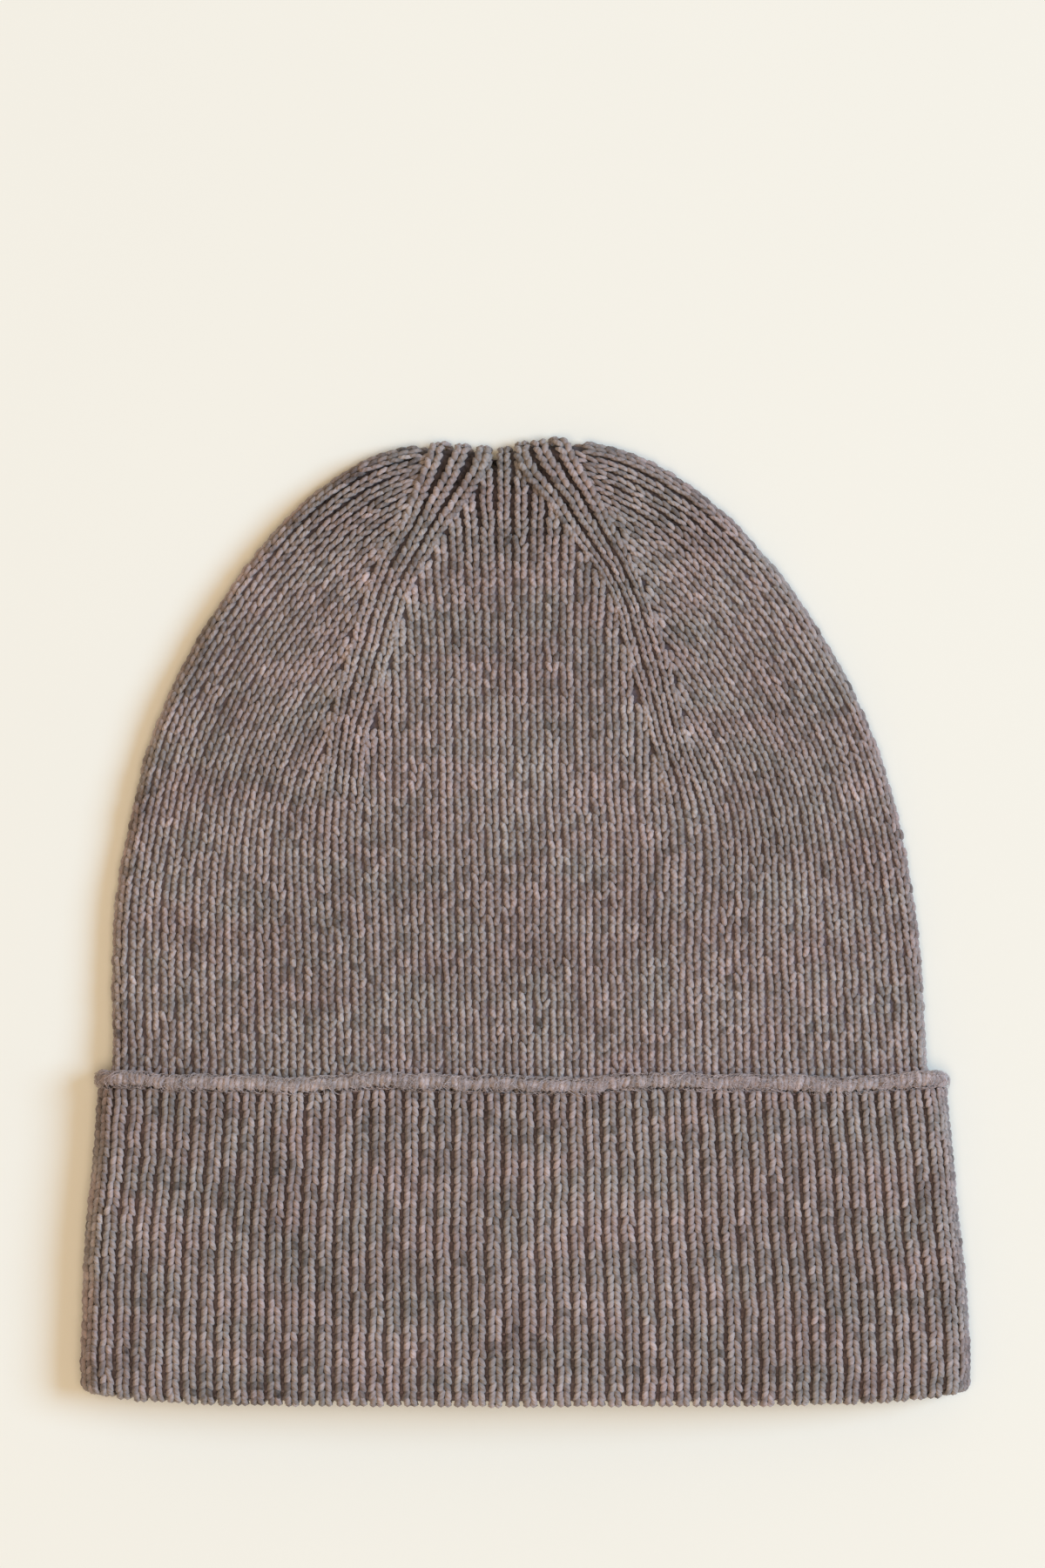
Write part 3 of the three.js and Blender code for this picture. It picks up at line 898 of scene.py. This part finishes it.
castOn = {
    "rise": 76.1,
    "halfHeight": 1.1,
    "halfDepth": 0.9,
    "coreColumns": 432,
    "coreSides": 8,
    "coreSize": 0.8,
    "wander": [(0.3, 13, 0.4), (0.18, 29, 2.0)],  # waves along the edge: size, how many of them, start
    "loops": 324,
    "loopThick": 1.75,
    "loopArc": (160, 300),  # degrees: where a loop starts on the core, and how far round it goes
    "slant": 0.9,
    "slants": (0.6, 1.0),  # middle and spread of the slant that is drawn for each loop
    "unevenness": 0.09,
    "thickSpread": 0.1,
    "sizeSpread": 0.07,
    "placeSpread": 0.08,
    "toneSpread": 0.8,
}


# Places on the core: shares of the way round the hat, and the turn round the core from its top
def castOnPlace(shares, turn, swell):
    spot, out, _, _, _ = cuffSection(castOn["rise"], shares)
    wave = edgeWave(spot[:, 0])
    for size, count, start in castOn["wander"]:
        wave = wave + size * np.sin(2 * math.pi * count * shares + start)
    away = np.sin(turn) * castOn["halfDepth"] * swell - castOn["halfDepth"]
    rise = castOn["rise"] + wave + np.cos(turn) * castOn["halfHeight"] * swell
    flat = spot + out * away[:, None]
    return np.stack([flat[:, 0], rise, flat[:, 1]], axis=1)


def castOnCore():
    columns, sides = castOn["coreColumns"], castOn["coreSides"]
    shares = np.arange(columns) / columns
    turns = [np.full(columns, 2 * math.pi * i / sides) for i in range(sides)]
    points = np.concatenate([castOnPlace(shares, turn, castOn["coreSize"]) for turn in turns])
    return points, gridFaces(sides + 1, columns) % len(points)


# Points round a line, one array for each side of the strand
def roundLine(line, right, out, girth, sides):
    angles = ringAngles(sides)
    return [line + (right * math.cos(angle) + out * math.sin(angle)) * girth for angle in angles]


def castOnLoops():
    sides, spans, count = 5, 8, castOn["loops"]
    swells = draws.normal(0, castOn["unevenness"], count + 6)
    swells = np.convolve(swells, np.full(7, 1 / math.sqrt(7)), "valid")
    along = np.linspace(0, 1, spans + 1)
    start, reach = (math.radians(angle) for angle in castOn["loopArc"])
    turn = start - along * reach
    taper = np.sin(np.pi * (along * 0.9 + 0.05)) ** 0.35  # the loops get thinner at both ends
    allPoints, tones = [], []
    for loop in range(count):
        tones.append(draws.normal(0, castOn["toneSpread"]))
        slant = castOn["slant"] * draws.normal(*castOn["slants"])
        thick = castOn["loopThick"] * draws.normal(1, castOn["thickSpread"])
        size = draws.normal(1, castOn["sizeSpread"]) + swells[loop]
        shares = (loop + slant * (along - 0.5) + draws.normal(0, castOn["placeSpread"])) / count
        line = castOnPlace(shares % 1, turn, size)
        core = castOnPlace(shares % 1, turn, 0.3 * size)  # below the loop, which gives its way out
        heading = unit(np.gradient(line, axis=0))
        right = unit(np.cross(heading, unit(line - core)))
        girth = (thick / 2 * taper)[:, None]
        rings = roundLine(line, right, np.cross(right, heading), girth, sides)
        allPoints.append(np.stack(rings, axis=1).reshape(-1, 3))
    size = (spans + 1) * sides
    strand = np.zeros((count, size, 3))
    strand[..., 1] = np.repeat(along * 2, sides)
    strand[..., 2] = np.array(tones)[:, None]
    faces = copiedFaces(gridFaces(spans + 1, sides)[:, ::-1], size, count)
    return np.concatenate(allPoints), faces, strand


# Loose fibres: short bent hairs that lie over the edge

fuzz = {
    "hairs": 4400,
    "length": 2.8,
    "lengths": (0.5, 1.2),  # the least and the most of it that a hair has
    "thick": 0.15,
    "taper": 0.6,
    "bend": 0.35,
    "lift": 0.5,
    "lifts": (0.2, 1.2),  # the same for the lift
    "turns": (-0.3, 2.6),  # where round the edge the hairs lie, from its top
    "waySpread": 0.9,
    "tone": 1.5,
    "toneSpread": 1.0,
}


# Hairs from their places, their ways along and their ways out
def hairMesh(place, along, out):
    count, spans, sides = len(place), 3, 3
    length = fuzz["length"] * draws.uniform(*fuzz["lengths"], (count, 1))
    bend = np.cross(out, along) * draws.normal(0, fuzz["bend"], (count, 1))
    rise = fuzz["lift"] * draws.uniform(*fuzz["lifts"], (count, 1))
    rings = []
    for t in (step / spans for step in range(spans + 1)):
        line = place + along * length * (t - 0.5) + bend * length * (t * (1 - t))
        line = line + out * rise * 4 * t * (1 - t)
        girth = fuzz["thick"] / 2 * (1 - fuzz["taper"] * t)
        rings += roundLine(line, np.cross(along, out), out, girth, sides)
    strand = np.zeros((count, len(rings), 3))
    strand[..., 2] = draws.normal(fuzz["tone"], fuzz["toneSpread"], count)[:, None]
    faces = copiedFaces(gridFaces(spans + 1, sides)[:, ::-1], len(rings), count)
    return np.stack(rings, axis=1).reshape(-1, 3), faces, strand


# Places a little ahead along the edge and a little over it give the hairs' ways
def edgeHairs():
    count = fuzz["hairs"]
    shares = draws.uniform(0, 1, count)
    turn = draws.uniform(*fuzz["turns"], count)
    size = np.full(count, 1 + castOn["loopThick"] / 2 / castOn["halfHeight"])
    place = castOnPlace(shares, turn, size)
    ahead = castOnPlace((shares + 0.002) % 1, turn, size)
    over = castOnPlace(shares, turn + 0.2, size)
    way = draws.normal(0, fuzz["waySpread"], (count, 1))
    along = unit(unit(ahead - place) * np.cos(way) + unit(over - place) * np.sin(way))
    out = unit(place - castOnPlace(shares, turn, np.full(count, 0.2)))
    along = unit(along - out * (along * out).sum(1)[:, None])
    return hairMesh(place, along, out)


# Materials

# Sets a node's inputs, each to a value or to the output that feeds it
def fillInputs(tree, node, inputs):
    for label, value in inputs.items():
        if isinstance(value, bpy.types.NodeSocket):
            tree.links.new(value, node.inputs[label])
        else:
            node.inputs[label].default_value = value


def addNode(tree, kind, inputs, **settings):
    node = tree.nodes.new("ShaderNode" + kind)
    for name, value in settings.items():
        setattr(node, name, value)
    fillInputs(tree, node, inputs)
    return node


def mathNode(tree, operation, *values):
    return addNode(tree, "Math", dict(enumerate(values)), operation=operation).outputs[0]


def mixNode(tree, factor, first, second):
    inputs = {"Factor": factor, "A": first, "B": second}
    return addNode(tree, "Mix", inputs, data_type="RGBA").outputs["Result"]


def noiseNode(tree, vector, scale, detail, roughness=0.5):
    inputs = {"Vector": vector, "Scale": scale, "Detail": detail, "Roughness": roughness}
    return addNode(tree, "TexNoise", inputs).outputs["Fac"]


# Each stitch's own numbers: across the strand, along it, and its tone
def strandNode(tree):
    strand = addNode(tree, "Attribute", {}, attribute_name="strand")
    return addNode(tree, "SeparateXYZ", {"Vector": strand.outputs["Vector"]}).outputs


# A node group with colour inputs, number inputs with their values, and one output
def nodeGroup(name, colours, numbers, output, kind):
    group = bpy.data.node_groups.new(name, "ShaderNodeTree")
    for label in colours:
        group.interface.new_socket(label, in_out="INPUT", socket_type="NodeSocketColor")
    for label, value in numbers.items():
        made = group.interface.new_socket(label, in_out="INPUT", socket_type="NodeSocketFloat")
        made.default_value = value
    group.interface.new_socket(output, in_out="OUTPUT", socket_type=kind)
    source, result = group.nodes.new("NodeGroupInput"), group.nodes.new("NodeGroupOutput")
    return group, source.outputs, result


# Heathered wool: fibres of two casts drift through the yarn in patches, and stitches differ in tone
def heatherGroup():
    numbers = {
        "Patch Size": 0.011,
        "Cast Strength": 0.6,
        "Stitch Contrast": 0.16,
        "Drift Size": 0.024,
        "Drift": 1.3,
    }
    group, given, result = nodeGroup(
        "heather", ["Wool", "Warm Cast", "Cool Cast"], numbers, "Color", "NodeSocketColor")
    spot = addNode(group, "TexCoord", {}).outputs["Object"]
    stretched = addNode(group, "Mapping", {"Vector": spot, "Scale": (0.62, 1.0, 1.0)}).outputs["Vector"]
    patchScale = mathNode(group, "DIVIDE", 1.0, given["Patch Size"])
    patch = noiseNode(group, stretched, patchScale, detail=2.5, roughness=0.62)
    spread = addNode(group, "MapRange", {"Value": patch, "From Min": 0.36, "From Max": 0.64})
    cast = mixNode(group, spread.outputs["Result"], given["Warm Cast"], given["Cool Cast"])
    blend = mixNode(group, given["Cast Strength"], given["Wool"], cast)
    fleck = noiseNode(group, spot, scale=800.0, detail=3.0)
    fleck = mathNode(group, "MULTIPLY_ADD", fleck, 7.0, -3.5)  # from 3.5 darker to 3.5 lighter
    # The tone is each stitch's own, which differs at random; on the crown's knit back it holds the
    # painted shade by the tip and beside the narrowing lines
    tone = mathNode(group, "ADD", strandNode(group)["Z"], fleck)
    driftScale = mathNode(group, "DIVIDE", 1.0, given["Drift Size"])
    drift = noiseNode(group, stretched, driftScale, detail=4.0, roughness=0.78)
    drift = mathNode(group, "SUBTRACT", drift, 0.5)
    drift = mathNode(group, "MULTIPLY_ADD", drift, given["Drift"], 1.0)
    gain = mathNode(group, "MULTIPLY_ADD", tone, given["Stitch Contrast"], drift)
    shade = addNode(group, "VectorMath", {0: blend, "Scale": gain}, operation="SCALE")
    fillInputs(group, result, {"Color": shade.outputs["Vector"]})
    return group


# The twist of the yarn's plies across a strand, with loose fibres over it
def twistGroup():
    group, given, result = nodeGroup(
        "yarnTwist", [], {"Twist": 1.0, "Fibre": 0.6}, "Height", "NodeSocketFloat")
    strand = strandNode(group)
    slant = mathNode(group, "MULTIPLY_ADD", strand["X"], 0.32, strand["Y"])
    turn = mathNode(group, "MULTIPLY", slant, 2 * math.pi * 2.1)  # 2.1 turns along a row's height
    plies = mathNode(group, "MULTIPLY", mathNode(group, "SINE", turn), given["Twist"])
    spot = addNode(group, "TexCoord", {}).outputs["Object"]
    hairs = noiseNode(group, spot, scale=2600.0, detail=3.0)
    hairs = mathNode(group, "MULTIPLY", hairs, given["Fibre"])
    fillInputs(group, result, {"Height": mathNode(group, "ADD", plies, hairs)})
    return group


heather = heatherGroup()
yarnTwist = twistGroup()

# Each wool's colour and two casts, how far its stitches differ, its relief and its sheen
woolFinish = {
    "crown_wool": {
        "wool": (0.293, 0.246, 0.254), "warm": (0.323, 0.249, 0.254), "cool": (0.263, 0.248, 0.245),
        "contrast": 0.15, "twist": 1.0, "bump": 0.35, "sheen": 0.25,
    },
    "cuff_wool": {
        "wool": (0.295, 0.248, 0.258), "warm": (0.323, 0.251, 0.258), "cool": (0.264, 0.250, 0.249),
        "contrast": 0.15, "twist": 1.0, "bump": 0.35, "sheen": 0.25,
    },
    "edge_wool": {
        "wool": (0.368, 0.315, 0.335), "warm": (0.388, 0.320, 0.335), "cool": (0.348, 0.317, 0.330),
        "contrast": 0.2, "twist": 0.0, "bump": 0.6, "sheen": 0.4,
    },
    # The knit's back is painted far darker than the wool: painted shade in the gaps and grooves between
    # the strands
    "knit_back_painted_shade": {
        "wool": (0.119, 0.098, 0.119), "warm": (0.127, 0.098, 0.116), "cool": (0.111, 0.098, 0.114),
        "contrast": 0.25, "twist": 0.0, "bump": 0.5, "sheen": 0.1,
    },
}


def newMaterial(name):
    material = bpy.data.materials.new(name)
    material.use_nodes = True
    return material, material.node_tree, material.node_tree.nodes["Principled BSDF"]


def woolMaterial(name, look):
    material, tree, shader = newMaterial(name)
    colour = addNode(tree, "Group", {
        "Wool": (*look["wool"], 1),
        "Warm Cast": (*look["warm"], 1),
        "Cool Cast": (*look["cool"], 1),
        "Stitch Contrast": look["contrast"],
    }, node_tree=heather)
    relief = addNode(tree, "Group", {"Twist": look["twist"]}, node_tree=yarnTwist)
    raised = addNode(tree, "Bump", {
        "Strength": look["bump"],
        "Distance": 0.0002,
        "Height": relief.outputs["Height"],
    })
    fillInputs(tree, shader, {
        "Base Color": colour.outputs["Color"],
        "Roughness": 0.92,
        "Specular IOR Level": 0.22,
        "Sheen Weight": look["sheen"],
        "Sheen Roughness": 0.55,
        "Sheen Tint": (0.9, 0.84, 0.8, 1),
        "Normal": raised.outputs["Normal"],
    })
    return material


materials = {name: woolMaterial(name, look) for name, look in woolFinish.items()}


def dress(piece, material, node):
    piece.data.materials.append(materials[material])
    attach(piece, "root")
    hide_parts(node)
    print("made", piece.name, len(piece.data.polygons), "triangles")


# Camera, floor and light, in metres

view = {
    "middle": (-0.0008, 0.0325),
    "frameHeight": 0.3726,  # what the picture's height takes in, at the height of the cloth
    "clothHeight": 0.005,
    "lens": 180.0,
    "sensor": 36.0,
}


def cameraAbove():
    data = bpy.data.cameras.new("camera")
    data.lens = view["lens"]
    data.sensor_width = view["sensor"]
    camera = bpy.data.objects.new("camera", data)
    distance = view["frameHeight"] * view["lens"] / view["sensor"]
    camera.location = (*view["middle"], view["clothHeight"] + distance)
    scene.collection.objects.link(camera)
    scene.camera = camera


floorLook = {
    "colour": (0.848, 0.86, 0.831),
    "grainShade": 0.985,  # the darker spots of the paper, as a share of its colour
    "size": 6.0,
    "height": -0.0002,
}


def paleFloor():
    half = floorLook["size"] / 2
    corners = [(-half, -half, 0), (half, -half, 0), (half, half, 0), (-half, half, 0)]
    mesh = bpy.data.meshes.new("floor")
    mesh.from_pydata(corners, [], [(0, 1, 2, 3)])
    floor = bpy.data.objects.new("floor", mesh)
    floor.location = (0, 0, floorLook["height"])
    scene.collection.objects.link(floor)
    material, tree, shader = newMaterial("pale_paper")
    spot = addNode(tree, "TexCoord", {}).outputs["Object"]
    darker = [value * floorLook["grainShade"] for value in floorLook["colour"]]
    grain = noiseNode(tree, spot, scale=14.0, detail=4.0)
    tint = mixNode(tree, grain, (*floorLook["colour"], 1), (*darker, 1))
    fillInputs(tree, shader, {"Base Color": tint, "Roughness": 0.95, "Specular IOR Level": 0.1})
    mesh.materials.append(material)


lamps = {
    "window": {"size": 3.85, "power": 414.0, "colour": (0.48, 0.74, 1.0), "place": (5.15, 0.75, 4.45)},
    "ceiling": {"size": 3.0, "power": 111.0, "colour": (1.0, 0.775, 0.53), "place": (0.0, -0.4, 4.6)},
}
roomLight = {"colour": (1.0, 0.75, 0.49), "strength": 0.35}


# Two lamps that point at the hat, and the light of the room from all sides
def softLights():
    for name, light in lamps.items():
        data = bpy.data.lights.new(name, "AREA")
        data.shape = "DISK"
        data.size = light["size"]
        data.energy = light["power"]
        data.color = light["colour"]
        lamp = bpy.data.objects.new(name, data)
        lamp.location = light["place"]
        lamp.rotation_euler = (-Vector(light["place"])).to_track_quat("-Z", "Y").to_euler()
        scene.collection.objects.link(lamp)
    world = bpy.data.worlds.new("room")
    world.use_nodes = True
    fillInputs(world.node_tree, world.node_tree.nodes["Background"], {
        "Color": (*roomLight["colour"], 1),
        "Strength": roomLight["strength"],
    })
    scene.world = world


cameraAbove()
paleFloor()
softLights()
scene.view_settings.view_transform = "Standard"
print("camera, floor and lights are set")

dress(strandMesh("crown_middle_front", middlePanel(False)), "crown_wool", "crown")
dress(strandMesh("crown_middle_back", middlePanel(True)), "crown_wool", "crown")
for side in sideSign:
    dress(strandMesh("crown_side_" + side, sidePanel(side)), "crown_wool", "crown")
dress(clothMesh("crown_knit_back", *crownShell()), "knit_back_painted_shade", "crown")
for part in ("front", "back", "fold"):
    strands = strandMesh("cuff_" + part, cuffStitches(part), -1, cuff["lean"], cuff["strandWidth"])
    dress(strands, "cuff_wool", "cuff")
dress(clothMesh("cuff_knit_back", *cuffShell()), "knit_back_painted_shade", "cuff")
dress(clothMesh("cuff_purl", *purlBumps()), "knit_back_painted_shade", "cuff")
dress(clothMesh("cast_on_core", *castOnCore()), "edge_wool", "cuff_edge")
dress(clothMesh("cast_on_loops", *castOnLoops()), "edge_wool", "cuff_edge")
dress(clothMesh("cast_on_fuzz", *edgeHairs()), "edge_wool", "cuff_edge")
